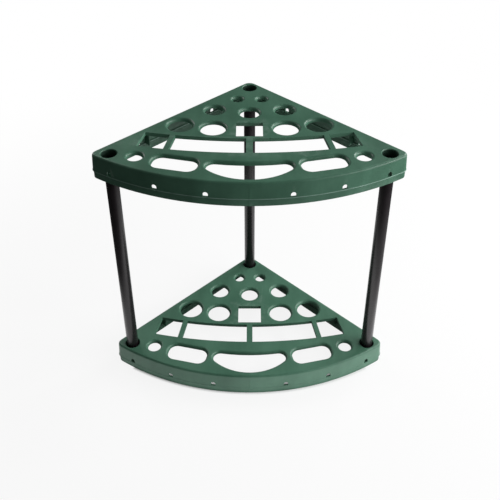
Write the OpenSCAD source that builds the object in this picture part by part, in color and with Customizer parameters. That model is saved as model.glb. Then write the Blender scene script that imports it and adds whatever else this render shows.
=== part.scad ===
/* [Rack] */
// Width across the two front corners
rack_w = 599.4; // [560:1:660]
// Depth from the rounded rear tip to the middle of the bowed front
rack_d = 401.3; // [390:1:415]
// Height of the upper deck above the floor
rack_h = 556.3; // [200:1:1200]

/* [Tray outline] */
// Radius of the rounded rear tip
tip_r = 20; // [14:1:30]
// Radius of the two front corners
corner_r = 16; // [12:1:26]

/* [Tray moulding] */
// Height of the skirt that the deck stands on
skirt_h = 50.6; // [44:1:80]
// Height of the plain band under the ledge
band_h = 15.2; // [12:0.5:18]
// Step of that band behind the ledge
ledge_step = 2; // [1:0.25:2.5]
// Outward draft of the skirt from deck to ledge
rim_draft = 2.5; // [1:0.25:3]
// Radius of the edge between deck and skirt
edge_r = 5; // [3:0.5:5.5]
// Height of the bead along the ledge's edge
bead_h = 1.3; // [1:0.1:1.4]
// Reach of the bead out from the skirt
bead_out = 0.8; // [0.4:0.1:0.9]
// Width of the raised mould line down the middle of the front
seam_w = 1.2; // [0.6:0.1:2]
// Height of that line off the skirt
seam_out = 0.3; // [0.1:0.05:0.35]
// Thickness of the moulded walls
wall = 2.8; // [2:0.1:3]
// Thickness of the deck
deck_t = 3; // [2:0.1:4]
// Depth of the collars round the openings, from the top of the deck
collar_h = 8; // [6:0.5:14]
// Radius of the rolled lips of the round openings
lip_r = 6; // [3:0.5:6]

/* [Round openings] */
// Radius of the two small holes behind
small_r = 10.9; // [6:0.5:14]
// Radius of the three holes of the second row
medium_r = 20.1; // [14:0.5:22]
// Radius of the four large holes of the third row
large_r = 25.5; // [20:0.5:26]
// Radius of the single hole beside each front socket
end_r = 14.4; // [10:0.5:15]

/* [Shaped openings] */
// Side of the square hole in the middle
square_w = 53.4; // [40:0.5:54]
// Width of the rib between the middle slots
mid_rib_w = 13.2; // [9:0.5:20]
// Width of the ribs between middle and outer slots
side_rib_w = 10.4; // [8:0.5:16]
// Length of the oblong holes
oblong_l = 87.7; // [70:1:88]
// Width of the oblong holes
oblong_w = 43; // [37:0.5:44]
// Corner radius of the oblong holes
oblong_r = 18; // [8:0.5:18]
// Turn of the oblong holes from the rack's width
oblong_turn = 13.5; // [8:0.5:15]
// Radius of the lower edge of the bowl-shaped hole
bowl_r = 108; // [100:1:112]
// Radius of its straight-looking rear edge
bowl_back_r = 400; // [300:5:700]
// Radius of its two ends
bowl_end_r = 15.5; // [10:0.5:17]

/* [Skirt windows] */
// Width of the small windows above the ledge
window_w = 10; // [6:0.5:12]
// Height of the windows
window_h = 10; // [8:0.2:13]
// Sill between the ledge's underside and the foot of a window
window_sill = 1.8; // [1.6:0.2:2.4]
// Angle between front windows, from the middle of the front arc
window_step = 10.8; // [10:0.1:11]

/* [Tubes and sockets] */
// Outside diameter of the tubes
tube_d = 25.4; // [22:0.1:25.8]
// Wall of the tubes
tube_t = 1.2; // [0.8:0.1:2.5]
// Clearance round a tube in its socket
tube_gap = 0.1; // [0.05:0.05:0.2]
// Radius of the wide well above the tight bore
well_r = 15; // [14:0.1:15]
// Depth of the well
well_h = 14; // [8:0.5:16]
// Chamfer at the mouth of the well
mouth_c = 1.8; // [0.5:0.1:1.8]
// Thickness of the stop ring inside the socket
stop_t = 2.6; // [2:0.2:5]
// Reach of the stop ring in from the bore
stop_in = 3.2; // [2:0.2:6]

/* [Hidden] */
$fn = 96;
// Overrun of every cut past the face it leaves, and overlap of pieces that are fused
over = 1;

// Places of the openings, as shares of half the width and of the depth from the rear tip
tip_post_shares = [0, 0.0737];
corner_post_shares = [0.8839, 0.7478];
small_shares = [0.0858, 0.2018];
medium_side_shares = [0.2429, 0.3217];
medium_mid_shares = [0, 0.3506];
large_inner_shares = [0.2429, 0.5081];
large_outer_shares = [0.4655, 0.4769];
square_shares = [0, 0.5243];
end_shares = [0.7177, 0.77];
oblong_shares = [0.4638, 0.8256];
// The slots lie between two arcs about one centre far behind the rack
slot_centre_share = -1.6208;
slot_rear_share = 0.6098;
slot_front_share = 0.7428;
slot_end_share = 0.726;
side_rib_share = 0.532;
// Rear and front edge of the bowl-shaped hole, in the middle
bowl_rear_share = 0.8256;
bowl_front_share = 0.9573;
// Windows and gussets of the straight sides, as shares of half the width
side_window_shares = [0.278, 0.747];
gusset_shares = [0.234, 0.705];

// Outline of the ledge: arcs at tip, corners and front that meet the straight sides smoothly
tip_y = rack_d / 2;
tip_centre_y = tip_y - tip_r;
apex_y = tip_centre_y + tip_r * sqrt(2);
corner_x = rack_w / 2 - corner_r;
corner_y = apex_y - corner_r * sqrt(2) - corner_x;
front_y = tip_y - rack_d;
front_rise = corner_y - front_y;
front_r = (corner_x * corner_x + front_rise * front_rise - corner_r * corner_r) / (2 * (front_rise - corner_r));
front_centre_y = front_y + front_r;
front_half_angle = atan2(corner_x, front_centre_y - corner_y);

// Where the flat of the deck starts, in from the ledge
rim_flat = rim_draft + edge_r;

// Levels below the deck
ledge_z = skirt_h - band_h;
stop_top = (skirt_h + well_h - stop_t) / 2;
bore_r = tube_d / 2 + tube_gap;
boss_r = bore_r + wall;
well_boss_r = well_r + wall;
tube_l = rack_h - skirt_h - stop_t;

// Reach of the gussets in from the wall, and thickness of webs and gussets
gusset_reach = 14;
web_t = 2.4;
fuse = 0.5;
// The middle gap between the front windows is wider than the others by twice this angle
window_offset = 3.4;

// A place in the plan from its two shares
function at(shares) = [shares[0] * rack_w / 2, tip_y - shares[1] * rack_d];
// A place down the middle from the rear tip
function down(share) = tip_y - share * rack_d;
// Distance of a place from the straight side and from the front of the ledge
function side_gap(p) = (apex_y - p[1] - p[0]) / sqrt(2);
function front_gap(p) = front_r - norm([p[0], p[1] - front_centre_y]);

slot_centre_y = down(slot_centre_share);
slot_in_r = slot_centre_y - down(slot_rear_share);
slot_out_r = slot_centre_y - down(slot_front_share);
slot_half_angle = asin(slot_end_share * rack_w / 2 / slot_out_r);
side_rib_angle = asin(side_rib_share * rack_w / 2 / slot_out_r);

// Circles of the bowl-shaped hole, and the centre of its right-hand end
bowl_back_y = down(bowl_rear_share) + bowl_back_r;
bowl_y = down(bowl_front_share) + bowl_r;
bowl_far = bowl_back_r + bowl_end_r;
bowl_near = bowl_r - bowl_end_r;
bowl_end_y = (bowl_back_y * bowl_back_y - bowl_y * bowl_y - bowl_far * bowl_far + bowl_near * bowl_near)
    / (2 * (bowl_back_y - bowl_y));
bowl_end_x = sqrt(bowl_near * bowl_near - (bowl_end_y - bowl_y) * (bowl_end_y - bowl_y));
bowl_back_angle = atan2(bowl_end_x, bowl_back_y - bowl_end_y);
bowl_end_angle = atan2(bowl_y - bowl_end_y, bowl_end_x);

module both_sides() {
    children();
    mirror([1, 0, 0]) children();
}

// A row of points along an arc
function arc_points(centre, r, from, to, steps) =
    [for (i = [0:steps]) let (a = from + (to - from) * i / steps) centre + r * [cos(a), sin(a)]];

// The fan-shaped outline of a tray, drawn in by a given inset
function fan_points(inset) = concat(
    arc_points([corner_x, corner_y], corner_r - inset, front_half_angle - 90, 45, 10),
    arc_points([0, tip_centre_y], tip_r - inset, 45, 135, 10),
    arc_points([-corner_x, corner_y], corner_r - inset, 135, 270 - front_half_angle, 10),
    [for (i = [1:47]) let (a = front_half_angle * (i / 24 - 1))
        [(front_r - inset) * sin(a), front_centre_y - (front_r - inset) * cos(a)]]
);

// Outline of an oblong hole, drawn wider by a given growth
function oblong_points(grow) = [
    for (turn = [0, 90, 180, 270])
        let (x = (turn == 0 || turn == 270 ? 1 : -1) * (oblong_l / 2 - oblong_r))
        let (y = (turn < 180 ? 1 : -1) * (oblong_w / 2 - oblong_r))
        each arc_points([x, y], oblong_r + grow, turn, turn + 90, 8)
];

// Outline of the bowl-shaped hole, drawn wider by a given growth
function bowl_points(grow) = concat(
    arc_points([bowl_end_x, bowl_end_y], bowl_end_r + grow, -bowl_end_angle, 90 + bowl_back_angle, 10),
    [for (i = [1:5]) let (a = bowl_back_angle * (1 - i / 3))
        [(bowl_back_r - grow) * sin(a), bowl_back_y - (bowl_back_r - grow) * cos(a)]],
    arc_points([-bowl_end_x, bowl_end_y], bowl_end_r + grow, 90 - bowl_back_angle, 180 + bowl_end_angle, 10),
    [for (i = [1:19]) let (a = 180 + bowl_end_angle + (180 - 2 * bowl_end_angle) * i / 20)
        [(bowl_r + grow) * cos(a), bowl_y + (bowl_r + grow) * sin(a)]]
);

// A closed band swept round an outline: one ring of points for each corner of its section
module band(rings) {
    n = len(rings[0]);
    count = len(rings);
    polyhedron(
        points = [for (ring = rings) each ring],
        faces = [
            for (k = [0:count - 1], i = [0:n - 1])
                let (a = k * n + i, b = k * n + (i + 1) % n)
                let (c = (k + 1) % count * n + (i + 1) % n, d = (k + 1) % count * n + i)
                each [[a, c, b], [a, d, c]]
        ]
    );
}

function raised(points, z) = [for (p = points) [p[0], p[1], z]];

// Section of the rim: x runs inwards from the ledge's edge, y is the height above the deck
function rim_section() = concat(
    [[0, -ledge_z], [0, -ledge_z + bead_h - bead_out], [bead_out, -ledge_z + bead_h]],
    arc_points([rim_flat, -edge_r], edge_r, 180, 90, 6),
    [
        [rim_flat + over, 0], [rim_flat + over, -deck_t], [rim_draft + wall, -deck_t],
        [bead_out + wall, -ledge_z + wall], [ledge_step + wall, -ledge_z + wall],
        [ledge_step + wall, -skirt_h], [ledge_step, -skirt_h], [ledge_step, -ledge_z]
    ]
);

module rim() {
    band([for (p = rim_section()) raised(fan_points(p[0]), p[1])]);
}

// Raised mould line down the middle of the front, on the skirt and on the band under the ledge
module seam() {
    translate([-seam_w / 2, front_y, 0]) rotate([90, 0, 90]) linear_extrude(seam_w) polygon([
        [rim_draft + fuse, -edge_r], [rim_draft - seam_out, -edge_r],
        [bead_out - seam_out, -ledge_z + bead_h / 2], [ledge_step - seam_out, -ledge_z + bead_h / 2],
        [ledge_step - seam_out, -skirt_h + fuse], [ledge_step + fuse, -skirt_h + fuse]
    ]);
}

module rib_bar(rib_w, grow) {
    bar_w = rib_w - 2 * grow;
    translate([-bar_w / 2, -slot_out_r - 2 * wall]) square([bar_w, slot_out_r]);
}

// One curved band about a far centre, parted by a middle rib and two side ribs
module slots(grow) {
    reach = 2 * slot_out_r;
    translate([0, slot_centre_y]) difference() {
        intersection() {
            difference() {
                circle(slot_out_r + grow, $fn = 1440);
                circle(slot_in_r - grow, $fn = 1440);
            }
            translate([0, grow / sin(slot_half_angle)]) polygon([
                [0, 0],
                [reach * sin(slot_half_angle), -reach * cos(slot_half_angle)],
                [-reach * sin(slot_half_angle), -reach * cos(slot_half_angle)]
            ]);
        }
        rib_bar(mid_rib_w, grow);
        for (turn = [-side_rib_angle, side_rib_angle]) rotate(turn) rib_bar(side_rib_w, grow);
    }
}

// All openings with sharp edges
module sharp_openings(grow) {
    slots(grow);
    translate(at(square_shares)) square(square_w + 2 * grow, center = true);
}

// All openings with rolled lips
module rolled_openings(grow) {
    translate(at(medium_mid_shares)) circle(medium_r + grow);
    both_sides() {
        translate(at(small_shares)) circle(small_r + grow);
        translate(at(medium_side_shares)) circle(medium_r + grow);
        translate(at(large_inner_shares)) circle(large_r + grow);
        translate(at(large_outer_shares)) circle(large_r + grow);
        translate(at(end_shares)) circle(end_r + grow);
        translate(at(oblong_shares)) rotate(oblong_turn) polygon(oblong_points(grow));
    }
    polygon(bowl_points(grow));
}

// Section of a rolled lip and its collar: x runs outwards from the opening's edge
function lip_section() = concat(
    [[0, -collar_h], [wall, -collar_h], [wall, -deck_t], [lip_r + over, -deck_t], [lip_r + over, 0]],
    arc_points([lip_r, -lip_r], lip_r, 90, 180, 5)
);

module round_lip(r) {
    rotate_extrude() translate([r, 0]) difference() {
        union() {
            translate([0, -collar_h]) square([wall, collar_h]);
            translate([0, -deck_t]) square([lip_r + over, deck_t]);
        }
        difference() {
            translate([-over, -lip_r]) square(lip_r + over);
            translate([lip_r, -lip_r]) circle(lip_r);
        }
    }
}

module lips() {
    translate(at(medium_mid_shares)) round_lip(medium_r);
    both_sides() {
        translate(at(small_shares)) round_lip(small_r);
        translate(at(medium_side_shares)) round_lip(medium_r);
        translate(at(large_inner_shares)) round_lip(large_r);
        translate(at(large_outer_shares)) round_lip(large_r);
        translate(at(end_shares)) round_lip(end_r);
        translate(at(oblong_shares)) rotate(oblong_turn)
            band([for (p = lip_section()) raised(oblong_points(p[0]), p[1])]);
    }
    band([for (p = lip_section()) raised(bowl_points(p[0]), p[1])]);
}

module deck() {
    translate([0, 0, -deck_t]) linear_extrude(deck_t) difference() {
        polygon(fan_points(rim_flat + over / 2));
        rolled_openings(lip_r + over / 2);
    }
    translate([0, 0, -collar_h]) linear_extrude(collar_h) sharp_openings(wall);
}

module at_posts() {
    translate(at(tip_post_shares)) children();
    both_sides() translate(at(corner_post_shares)) children();
}

// Boss of a socket, wide round the well and narrow round the bore
module socket_boss() {
    translate([0, 0, -well_h - wall]) cylinder(r = well_boss_r, h = well_h + wall - deck_t / 2);
    translate([0, 0, -skirt_h]) cylinder(r = boss_r, h = skirt_h - well_h);
}

// Well, tight bore and the narrower hole through the stop ring
module socket_cut() {
    translate([0, 0, -mouth_c]) cylinder(r1 = well_r, r2 = well_r + mouth_c + over, h = mouth_c + over);
    translate([0, 0, -well_h]) cylinder(r = well_r, h = well_h);
    translate([0, 0, -stop_top]) cylinder(r = bore_r, h = stop_top - well_h + over);
    translate([0, 0, -skirt_h - over]) cylinder(r = bore_r, h = skirt_h + over - stop_top - stop_t);
    translate([0, 0, -skirt_h]) cylinder(r = bore_r - stop_in, h = skirt_h - well_h);
}

// Upright plate under the deck: x runs inwards from the ledge's edge, from the middle of the wall
module web(reach) {
    rotate([90, 0, 0]) linear_extrude(web_t, center = true) polygon([
        [bead_out + wall / 2, -ledge_z], [reach, -ledge_z],
        [reach, -deck_t + fuse], [rim_draft + wall / 2, -deck_t + fuse]
    ]);
}

// The same plate from a boss at a given distance from the ledge's edge
module boss_web(turn, gap) {
    rotate(turn) translate([gap, 0, 0]) rotate(180) web(gap - boss_r + fuse);
}

// Webs that tie each boss to the two walls beside it
module boss_webs() {
    tip_post = at(tip_post_shares);
    post = at(corner_post_shares);
    both_sides() {
        translate(tip_post) boss_web(45, side_gap(tip_post));
        translate(post) boss_web(45, side_gap(post));
        translate(post) boss_web(atan2(post[1] - front_centre_y, post[0]), front_gap(post));
    }
}

// Gussets on the inner face of the straight sides
module gussets() {
    for (share = gusset_shares) both_sides() on_side(share) web(wall + gusset_reach);
}

// Sets a piece on the straight side with x pointing inwards from the ledge's edge
module on_side(share) {
    x = share * rack_w / 2;
    translate([x, apex_y - x, 0]) rotate(225) children();
}

module window_cut() {
    translate([-over, 0, window_sill - ledge_z]) rotate([90, 0, 90]) linear_extrude(rim_draft + wall + ledge_step + 2 * over) {
        translate([-window_w / 2, 0]) square([window_w, window_h - window_w / 2]);
        translate([0, window_h - window_w / 2]) circle(window_w / 2);
    }
}

module window_cuts() {
    for (place = [-2.5, -1.5, -0.5, 0.5, 1.5, 2.5]) {
        turn = place * window_step + sign(place) * window_offset;
        translate([0, front_centre_y, 0]) rotate(-90 + turn) translate([front_r, 0, 0]) rotate(180) window_cut();
    }
    for (share = side_window_shares) both_sides() on_side(share) window_cut();
}

// One tray moulding with the top of its deck at height zero
module tray() {
    difference() {
        union() {
            rim();
            seam();
            deck();
            lips();
            at_posts() socket_boss();
            boss_webs();
            gussets();
        }
        translate([0, 0, -collar_h - over]) linear_extrude(collar_h + 2 * over) sharp_openings(0);
        at_posts() socket_cut();
        window_cuts();
    }
}

module lower_tray() {
    color([0.28, 0.44, 0.37]) translate([0, 0, skirt_h]) tray();
}

module upper_tray() {
    color([0.28, 0.44, 0.37]) translate([0, 0, rack_h]) tray();
}

// A plain tube that stands on the stop ring of the lower tray and carries that of the upper one
module tube() {
    color([0.12, 0.12, 0.13]) translate([0, 0, skirt_h - stop_top]) difference() {
        cylinder(r = tube_d / 2, h = tube_l);
        translate([0, 0, -over]) cylinder(r = tube_d / 2 - tube_t, h = tube_l + 2 * over);
    }
}

module rear_tube() {
    translate(at(tip_post_shares)) tube();
}

module right_tube() {
    translate(at(corner_post_shares)) tube();
}

module left_tube() {
    mirror([1, 0, 0]) right_tube();
}

lower_tray();
upper_tray();
rear_tube();
left_tube();
right_tube();
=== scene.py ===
import math

import bmesh
import bpy
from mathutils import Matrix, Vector


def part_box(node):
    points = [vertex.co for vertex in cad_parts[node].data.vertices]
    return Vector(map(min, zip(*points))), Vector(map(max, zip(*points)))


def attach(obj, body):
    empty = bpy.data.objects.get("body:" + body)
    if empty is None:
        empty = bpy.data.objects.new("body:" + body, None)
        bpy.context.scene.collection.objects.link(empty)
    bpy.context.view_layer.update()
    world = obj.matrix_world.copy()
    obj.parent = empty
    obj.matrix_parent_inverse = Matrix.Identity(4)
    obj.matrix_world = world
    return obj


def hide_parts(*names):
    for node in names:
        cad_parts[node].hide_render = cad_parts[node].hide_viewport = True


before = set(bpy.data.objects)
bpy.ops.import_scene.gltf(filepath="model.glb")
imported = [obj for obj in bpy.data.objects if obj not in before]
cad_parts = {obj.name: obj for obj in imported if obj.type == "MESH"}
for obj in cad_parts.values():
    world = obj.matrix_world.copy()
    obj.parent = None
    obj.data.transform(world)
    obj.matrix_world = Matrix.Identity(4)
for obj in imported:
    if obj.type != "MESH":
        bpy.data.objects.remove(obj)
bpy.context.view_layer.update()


# The camera stands in front of the rack, above its upper tray, and looks down
# onto both decks. Its window is moved a little down, as in the photograph.
frame_pixels = 500
lens_pixels = 723.9
camera_place = (0.001, -1.254, 1.2786)
looks_down = 0.589             # radians
window_down = 0.15             # of the frame's width


def show(name, data):
    thing = bpy.data.objects.new(name, data)
    bpy.context.scene.collection.objects.link(thing)
    return thing


camera_data = bpy.data.cameras.new("camera")
camera_data.sensor_width = 36.0
camera_data.lens = lens_pixels / frame_pixels * camera_data.sensor_width
camera_data.shift_y = -window_down
camera_data.clip_start = 0.05
camera_data.clip_end = 100.0
camera = show("camera", camera_data)
camera.location = camera_place
camera.rotation_euler = (math.pi / 2 - looks_down, 0.0, 0.0)
bpy.context.scene.camera = camera


# The two trays are one-piece injection mouldings of a deep green, slightly
# greyed plastic with a fine matte grain. Every edge that a mould leaves is a
# little soft, and handling has left pale scuffs on the edges. A pale painted
# highlight runs along the ledge's bead, and painted shade darkens the sockets.
deep_green = (0.054, 0.148, 0.095, 1.0)
cloudy_green = (0.082, 0.198, 0.132, 1.0)
scuffed_green = (0.2, 0.31, 0.25, 1.0)
# Pale green of the painted highlight along the ledge's bead
highlight_green = (0.36, 0.55, 0.46, 1.0)
# Near black of the painted shade inside the sockets
shade_black = (0.006, 0.007, 0.0065, 1.0)
tray_edge_radius = 0.0004
tray_weld = 2e-6               # corners closer than this are one corner
flat_within = 0.4              # degrees between triangles of one flat face
rounded_from = 50              # degrees from which an edge is rounded
crease_from = 32               # degrees from which a rounded tray still shades sharp
ledge_drop = 0.0354            # from a tray's top down to its ledge
bead_middle = 0.0007           # above the ledge
bead_half = 0.0006
bead_fade = 0.0005
# The painted shade in the sockets is full up to the first distance and gone beyond the second
shade_full_within = 0.0148          # of a socket's axis
shade_gone_beyond = 0.0157
# Strength of the painted highlight along the ledge's bead, on the lower and the upper tray
lower_ledge_highlight = 0.08
upper_ledge_highlight = 0.5
flow_share = 0.35
scuff_share = 0.6
# Strength of the painted shade in the sockets
socket_shade_share = 0.95


def put(tree, socket, value):
    # Another node's output is linked to the socket, and anything else is its value
    if isinstance(value, bpy.types.NodeSocket):
        tree.links.new(value, socket)
    else:
        socket.default_value = value


def fill(tree, node, **sockets):
    for name, value in sockets.items():
        put(tree, node.inputs[name.replace("_", " ")], value)
    return node


def node_of(tree, kind, **sockets):
    return fill(tree, tree.nodes.new(kind), **sockets)


def operation_of(tree, kind, operation, values):
    node = tree.nodes.new(kind)
    node.operation = operation
    for socket, value in zip(node.inputs, values):
        put(tree, socket, value)
    return node.outputs


def math_of(tree, operation, *values):
    return operation_of(tree, "ShaderNodeMath", operation, values)["Value"]


def vector_of(tree, operation, *values):
    return operation_of(tree, "ShaderNodeVectorMath", operation, values)["Vector"]


def distance_of(tree, operation, *values):
    return operation_of(tree, "ShaderNodeVectorMath", operation, values)["Value"]


def range_of(tree, value, start, end, first=0.0, last=1.0, shape="LINEAR"):
    # First up to start, last from end on, and a slope between them
    node = tree.nodes.new("ShaderNodeMapRange")
    node.interpolation_type = shape
    fill(tree, node, Value=value, From_Min=start, From_Max=end, To_Min=first, To_Max=last)
    return node.outputs["Result"]


def noise_of(tree, place, scale, detail, roughness):
    node = node_of(tree, "ShaderNodeTexNoise", Vector=place, Scale=scale, Detail=detail,
                   Roughness=roughness)
    return node.outputs["Fac"]


def stretched(tree, place, scale):
    return node_of(tree, "ShaderNodeMapping", Vector=place, Scale=scale).outputs["Vector"]


def ramp_of(tree, value, *steps):
    node = node_of(tree, "ShaderNodeValToRGB", Fac=value)
    for element, (position, colour) in zip(node.color_ramp.elements, steps):
        element.position = position
        element.color = colour
    return node.outputs["Color"]


def colour_mix(tree, share, first, second, blend="MIX"):
    node = tree.nodes.new("ShaderNodeMix")
    node.data_type = "RGBA"
    node.blend_type = blend
    fill(tree, node, Factor=share, A=first, B=second)
    return node.outputs["Result"]


def bump_of(tree, height, strength, distance, **under):
    node = node_of(tree, "ShaderNodeBump", Height=height, Strength=strength, Distance=distance,
                   **under)
    return node.outputs["Normal"]


def empty_material(name):
    material = bpy.data.materials.new(name)
    material.use_nodes = True
    tree = material.node_tree
    tree.nodes.clear()
    place = tree.nodes.new("ShaderNodeTexCoord").outputs["Object"]
    return material, tree, place


def moulded_green(name, posts, ledge_height, ledge_highlight):
    material, tree, place = empty_material(name)

    # Broad cloudy change of the pigment
    cloud = noise_of(tree, place, scale=9.0, detail=4.0, roughness=0.6)
    colour = ramp_of(tree, cloud, (0.3, deep_green), (0.72, cloudy_green))

    # Flow marks of the melt, long streaks that run from front to back
    streaks = stretched(tree, place, (26.0, 3.0, 10.0))
    flow = noise_of(tree, streaks, scale=1.0, detail=3.0, roughness=0.55)
    colour = colour_mix(tree, flow_share, colour, flow, "SOFT_LIGHT")

    # Worn edges are paler and greyer, in patches
    pointed = tree.nodes.new("ShaderNodeNewGeometry").outputs["Pointiness"]
    edge = range_of(tree, pointed, 0.54, 0.64)
    scuff = noise_of(tree, place, scale=60.0, detail=5.0, roughness=0.7)
    scuffed = range_of(tree, scuff, 0.42, 0.68)
    worn = math_of(tree, "MULTIPLY", math_of(tree, "MULTIPLY", edge, scuffed), scuff_share)
    colour = colour_mix(tree, worn, colour, scuffed_green)

    # Painted highlight: a pale line along the bead above the ledge, in patches, stronger on the
    # upper tray
    height = node_of(tree, "ShaderNodeSeparateXYZ", Vector=place).outputs["Z"]
    above_bead = math_of(tree, "SUBTRACT", height, ledge_height + bead_middle)
    from_bead = math_of(tree, "ABSOLUTE", above_bead)
    on_bead = range_of(tree, from_bead, bead_half, bead_half + bead_fade, ledge_highlight, 0.0)
    patches = range_of(tree, scuff, 0.3, 0.5, first=0.5)
    bead_highlight = math_of(tree, "MULTIPLY", on_bead, patches)
    colour = colour_mix(tree, bead_highlight, colour, highlight_green)

    # Painted shade: the inside of the sockets is darkened to near black round the tubes' axes
    from_posts = []
    for post in posts:
        offset = vector_of(tree, "SUBTRACT", place, (post.x, post.y, 0.0))
        level = vector_of(tree, "MULTIPLY", offset, (1.0, 1.0, 0.0))
        from_posts.append(distance_of(tree, "LENGTH", level))
    from_post = from_posts[0]
    for other in from_posts[1:]:
        from_post = math_of(tree, "MINIMUM", from_post, other)
    socket_shade = range_of(tree, from_post, shade_full_within, shade_gone_beyond, socket_shade_share, 0.0)
    colour = colour_mix(tree, socket_shade, colour, shade_black)

    # Grain of the mould, slow waves of its surface, and a duller sheen where it is scuffed
    fine = noise_of(tree, place, scale=1500.0, detail=2.0, roughness=0.5)
    slow = noise_of(tree, place, scale=45.0, detail=2.0, roughness=0.5)
    grain = bump_of(tree, fine, strength=0.3, distance=0.0003)
    waves = bump_of(tree, slow, strength=0.18, distance=0.0012, Normal=grain)
    sheen = range_of(tree, scuff, 0.0, 1.0, first=0.3, last=0.46)
    shader = node_of(tree, "ShaderNodeBsdfPrincipled", IOR=1.49, Specular_IOR_Level=0.4,
                     Base_Color=colour, Roughness=sheen, Normal=waves)
    node_of(tree, "ShaderNodeOutputMaterial", Surface=shader.outputs["BSDF"])
    return material


def without_modifiers(piece):
    # What the modifiers make of the piece becomes its own mesh
    bpy.context.view_layer.update()
    shown = piece.evaluated_get(bpy.context.evaluated_depsgraph_get())
    mesh = bpy.data.meshes.new_from_object(shown)
    piece.modifiers.clear()
    piece.data = mesh
    mesh.name = piece.name
    return mesh


def shade_smooth(mesh, sharp_from):
    for face in mesh.polygons:
        face.use_smooth = True
    mesh.set_sharp_from_angle(angle=math.radians(sharp_from))


def softened_copy(node, name, edge_radius):
    # A copy of the solid, its loose triangles joined and its sharp edges rounded
    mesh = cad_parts[node].data.copy()
    mesh.name = name
    mesh.materials.clear()
    work = bmesh.new()
    work.from_mesh(mesh)
    bmesh.ops.remove_doubles(work, verts=work.verts[:], dist=tray_weld)
    bmesh.ops.dissolve_limit(work, angle_limit=math.radians(flat_within),
                             use_dissolve_boundaries=False, verts=work.verts[:],
                             edges=work.edges[:])
    work.to_mesh(mesh)
    work.free()
    piece = show(name, mesh)
    bevel = piece.modifiers.new("soft edges", "BEVEL")
    bevel.width = edge_radius
    bevel.segments = 2
    bevel.limit_method = "ANGLE"
    bevel.angle_limit = math.radians(rounded_from)
    bevel.use_clamp_overlap = True
    shade_smooth(without_modifiers(piece), crease_from)

    # The large faces lead the shading, so that it stays even round the small openings
    even = piece.modifiers.new("even shading", "WEIGHTED_NORMAL")
    even.keep_sharp = True
    without_modifiers(piece)
    return piece


tube_nodes = ("rear_tube", "left_tube", "right_tube")
posts = [(low + high) / 2 for low, high in map(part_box, tube_nodes)]
for node, ledge_highlight in (("lower_tray", lower_ledge_highlight), ("upper_tray", upper_ledge_highlight)):
    ledge_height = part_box(node)[1].z - ledge_drop
    tray = softened_copy(node, node + "_moulding", tray_edge_radius)
    plastic = moulded_green("green_plastic_" + node, posts, ledge_height, ledge_highlight)
    tray.data.materials.append(plastic)
    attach(tray, "root")
    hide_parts(node)


# Three straight tubes hold the trays apart. Each is thin steel tube with a
# satin black coat, cut square, pushed into the sockets onto their stop rings.
warm_black = (0.0085, 0.006, 0.0075, 1.0)
dusty_black = (0.018, 0.0135, 0.0165, 1.0)
marked_black = (0.05, 0.05, 0.052, 1.0)
tube_wall = 0.0012
tube_edge_radius = 0.0003
tube_sides = 96
tube_weld = 1e-7
tube_crease_from = 50          # degrees
mark_share = 0.3


def satin_black(name):
    material, tree, place = empty_material(name)

    # Black with a faint warm cast, dusty in patches
    dust = noise_of(tree, place, scale=22.0, detail=6.0, roughness=0.65)
    coat = ramp_of(tree, dust, (0.35, warm_black), (0.8, dusty_black))

    # Fine marks along the tube from pushing it in and out of its sockets
    lengthwise = stretched(tree, place, (900.0, 900.0, 9.0))
    marks = noise_of(tree, lengthwise, scale=1.0, detail=3.0, roughness=0.6)
    marked = range_of(tree, marks, 0.62, 0.78, last=mark_share)
    colour = colour_mix(tree, marked, coat, marked_black)

    # The coat's slightly uneven surface, duller where it is dusty
    peel = noise_of(tree, place, scale=380.0, detail=2.0, roughness=0.5)
    uneven = bump_of(tree, peel, strength=0.12, distance=0.0004)
    sheen = range_of(tree, dust, 0.0, 1.0, first=0.2, last=0.36)
    shader = node_of(tree, "ShaderNodeBsdfPrincipled", IOR=1.5, Base_Color=colour,
                     Roughness=sheen, Normal=uneven)
    node_of(tree, "ShaderNodeOutputMaterial", Surface=shader.outputs["BSDF"])
    return material


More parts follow.
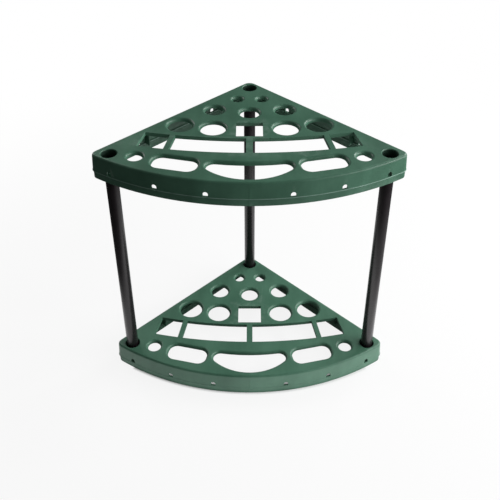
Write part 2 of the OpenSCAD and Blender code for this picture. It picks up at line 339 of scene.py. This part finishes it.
def tube_tree():
    # The wall's section, a tall slim rectangle with softened corners, is swept once
    # round the tube's axis
    tree = bpy.data.node_groups.new("tube", "GeometryNodeTree")
    for label, kind, value in (("Post", "NodeSocketVector", (0, 0, 0)),
                               ("Length", "NodeSocketFloat", 0.5),
                               ("Outer Radius", "NodeSocketFloat", 0.0127),
                               ("Wall", "NodeSocketFloat", tube_wall),
                               ("Edge Radius", "NodeSocketFloat", tube_edge_radius),
                               ("Coat", "NodeSocketMaterial", None)):
        socket = tree.interface.new_socket(name=label, in_out="INPUT", socket_type=kind)
        if value is not None:
            socket.default_value = value
    tree.interface.new_socket(name="Geometry", in_out="OUTPUT", socket_type="NodeSocketGeometry")
    given = tree.nodes.new("NodeGroupInput").outputs

    half_wall = math_of(tree, "MULTIPLY", given["Wall"], 0.5)
    middle_radius = math_of(tree, "SUBTRACT", given["Outer Radius"], half_wall)
    path = node_of(tree, "GeometryNodeCurvePrimitiveCircle", Resolution=tube_sides,
                   Radius=middle_radius)
    upright = node_of(tree, "GeometryNodeSetCurveNormal", Curve=path.outputs["Curve"])
    upright.mode = "Z_UP"
    section = node_of(tree, "GeometryNodeCurvePrimitiveQuadrilateral", Width=given["Wall"],
                      Height=given["Length"])
    soft = tree.nodes.new("GeometryNodeFilletCurve")
    soft.mode = "POLY"
    fill(tree, soft, Curve=section.outputs["Curve"], Count=3, Radius=given["Edge Radius"])
    swept = node_of(tree, "GeometryNodeCurveToMesh", Curve=upright.outputs["Curve"],
                    Profile_Curve=soft.outputs["Curve"])
    post = node_of(tree, "GeometryNodeMeshLine", Count=1, Start_Location=given["Post"])
    stand = node_of(tree, "GeometryNodeInstanceOnPoints", Points=post.outputs["Mesh"],
                    Instance=swept.outputs["Mesh"])
    real = node_of(tree, "GeometryNodeRealizeInstances", Geometry=stand.outputs["Instances"])
    coated = node_of(tree, "GeometryNodeSetMaterial", Geometry=real.outputs["Geometry"],
                     Material=given["Coat"])
    node_of(tree, "NodeGroupOutput", Geometry=coated.outputs["Geometry"])
    return tree


tube_maker = tube_tree()
black_coat = satin_black("satin_black_coat")
for node in tube_nodes:
    low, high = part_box(node)
    tube = show(node + "_pipe", bpy.data.meshes.new(node + "_pipe"))
    maker = tube.modifiers.new("tube", "NODES")
    maker.node_group = tube_maker
    sizes = {"Post": (low + high) / 2, "Length": high.z - low.z,
             "Outer Radius": (high.x - low.x) / 2, "Wall": tube_wall,
             "Edge Radius": tube_edge_radius, "Coat": black_coat}
    for item in tube_maker.interface.items_tree:
        if item.in_out == "INPUT" and item.name in sizes:
            maker[item.identifier] = sizes[item.name]
    made = without_modifiers(tube)
    work = bmesh.new()
    work.from_mesh(made)
    bmesh.ops.remove_doubles(work, verts=work.verts[:], dist=tube_weld)
    bmesh.ops.recalc_face_normals(work, faces=work.faces[:])
    work.to_mesh(made)
    work.free()
    shade_smooth(made, tube_crease_from)
    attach(tube, "root")
    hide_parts(node)


# The rack stands on a plain pale floor in soft studio light, most of it from
# the right. The floor close to the rack throws light back onto its lower tray.
white = (1.0, 1.0, 1.0, 1.0)
painted_white = (0.9, 0.9, 0.9, 1.0)
floor_reach = 20.0
even_from = 0.5                # the floor goes over to even white, from here
even_beyond = 1.5              # to here
foot_share = 0.87              # of even white at the rack's foot
fan_side = 0.1477              # from the rack's middle out to its straight sides
bow_centre = (0.0, 0.3202, 0.0)
bow_radius = 0.5208            # of the fan's bowed front
strip_middle = 0.016           # inside the bow
strip_half = 0.012
strip_fade = 0.01
strip_end = 0.245              # to each side of the middle
strip_share = 0.1              # of the white that it would have
around_near = 0.38             # the bounce all round fades from here to the next
around_far = 0.6
around_bounce = 1.0
right_spot = (0.5, -0.3, 0.0)
right_near = 0.3               # from the spot, and the same fade
right_far = 0.75
right_bounce = 0.55
far_bounce = 0.02
outline_fade = 0.01            # to each side of the fan's outline
under_share = 0.06             # of the bounce, under the rack
world_light = 0.08


def stage_white(name):
    material, tree, place = empty_material(name)
    reach = distance_of(tree, "LENGTH", place)

    # How far a point lies inside the rack's fan: from its two straight sides and its bow
    parts = node_of(tree, "ShaderNodeSeparateXYZ", Vector=place).outputs
    across = math_of(tree, "ABSOLUTE", parts["X"])
    along = math_of(tree, "ADD", across, parts["Y"])
    from_side = math_of(tree, "MULTIPLY_ADD", along, -math.sqrt(0.5), fan_side)
    from_centre = distance_of(tree, "DISTANCE", place, bow_centre)
    from_bow = math_of(tree, "SUBTRACT", bow_radius, from_centre)
    inside = math_of(tree, "MINIMUM", from_side, from_bow)

    # Painted floor at the foot of the rack, which takes its shadow, and even white beyond
    share = range_of(tree, reach, even_from, even_beyond, foot_share, 1.0, "SMOOTHSTEP")

    # The strip behind the front skirt, seen through its windows, is in the rack's shade
    off_strip = math_of(tree, "ABSOLUTE", math_of(tree, "SUBTRACT", from_bow, strip_middle))
    past_end = math_of(tree, "SUBTRACT", across, strip_end)
    off_front = math_of(tree, "MAXIMUM", past_end, parts["Y"])
    off_strip = math_of(tree, "MAXIMUM", off_strip, off_front)
    dim = range_of(tree, off_strip, strip_half, strip_half + strip_fade, strip_share, 1.0,
                   "SMOOTHSTEP")
    share = math_of(tree, "MULTIPLY", share, dim)

    # What the lit floor sends back to the rack: all round it, more from the right,
    # and little from under it
    around = range_of(tree, reach, around_near, around_far, around_bounce, far_bounce,
                      "SMOOTHSTEP")
    from_spot = distance_of(tree, "DISTANCE", place, right_spot)
    right = range_of(tree, from_spot, right_near, right_far, right_bounce, far_bounce,
                     "SMOOTHSTEP")
    open_floor = range_of(tree, inside, -outline_fade, outline_fade, 1.0, under_share,
                          "SMOOTHSTEP")
    bounce = math_of(tree, "MULTIPLY", math_of(tree, "ADD", around, right), open_floor)

    # To the camera the even floor is plain white
    ray = tree.nodes.new("ShaderNodeLightPath").outputs["Is Camera Ray"]
    strength = node_of(tree, "ShaderNodeMix", Factor=ray, A=bounce, B=1.0).outputs["Result"]
    paint = node_of(tree, "ShaderNodeBsdfDiffuse", Color=painted_white)
    glow = node_of(tree, "ShaderNodeEmission", Color=white, Strength=strength)
    blend = node_of(tree, "ShaderNodeMixShader", Fac=share)
    put(tree, blend.inputs[1], paint.outputs["BSDF"])
    put(tree, blend.inputs[2], glow.outputs["Emission"])
    node_of(tree, "ShaderNodeOutputMaterial", Surface=blend.outputs["Shader"])
    return material


corners = [(x * floor_reach, y * floor_reach, 0) for x, y in ((-1, -1), (1, -1), (1, 1), (-1, 1))]
floor_mesh = bpy.data.meshes.new("floor")
floor_mesh.from_pydata(corners, [], [(0, 1, 2, 3)])
floor = show("floor", floor_mesh)
floor_mesh.materials.append(stage_white("pale_floor"))

world = bpy.data.worlds.new("studio")
world.use_nodes = True
bpy.context.scene.world = world
sky = world.node_tree
sky.nodes.clear()
ambient = node_of(sky, "ShaderNodeBackground", Color=white, Strength=world_light)
backdrop = node_of(sky, "ShaderNodeBackground", Color=white, Strength=1.0)
ray = sky.nodes.new("ShaderNodeLightPath").outputs["Is Camera Ray"]
seen = node_of(sky, "ShaderNodeMixShader", Fac=ray)
put(sky, seen.inputs[1], ambient.outputs["Background"])
put(sky, seen.inputs[2], backdrop.outputs["Background"])
node_of(sky, "ShaderNodeOutputWorld", Surface=seen.outputs["Shader"])

lit_point = Vector((0.0, 0.0, 0.3))
for name, place, width, power in (
        ("lamp_right", (2.3, 0.0, 1.05), 1.4, 40.0),
        ("lamp_right_front", (2.0, -1.1, 1.2), 1.6, 27.0),
        ("lamp_right_back", (1.7, 1.5, 1.6), 1.2, 32.0),
        ("lamp_left_back", (-1.5, 1.5, 1.8), 1.2, 15.0)):
    light = bpy.data.lights.new(name, "AREA")
    light.size = width
    light.energy = power
    lamp = show(name, light)
    lamp.location = place
    lamp.rotation_euler = (lit_point - Vector(place)).to_track_quat("-Z", "Y").to_euler()
bpy.context.scene.view_settings.view_transform = "Standard"
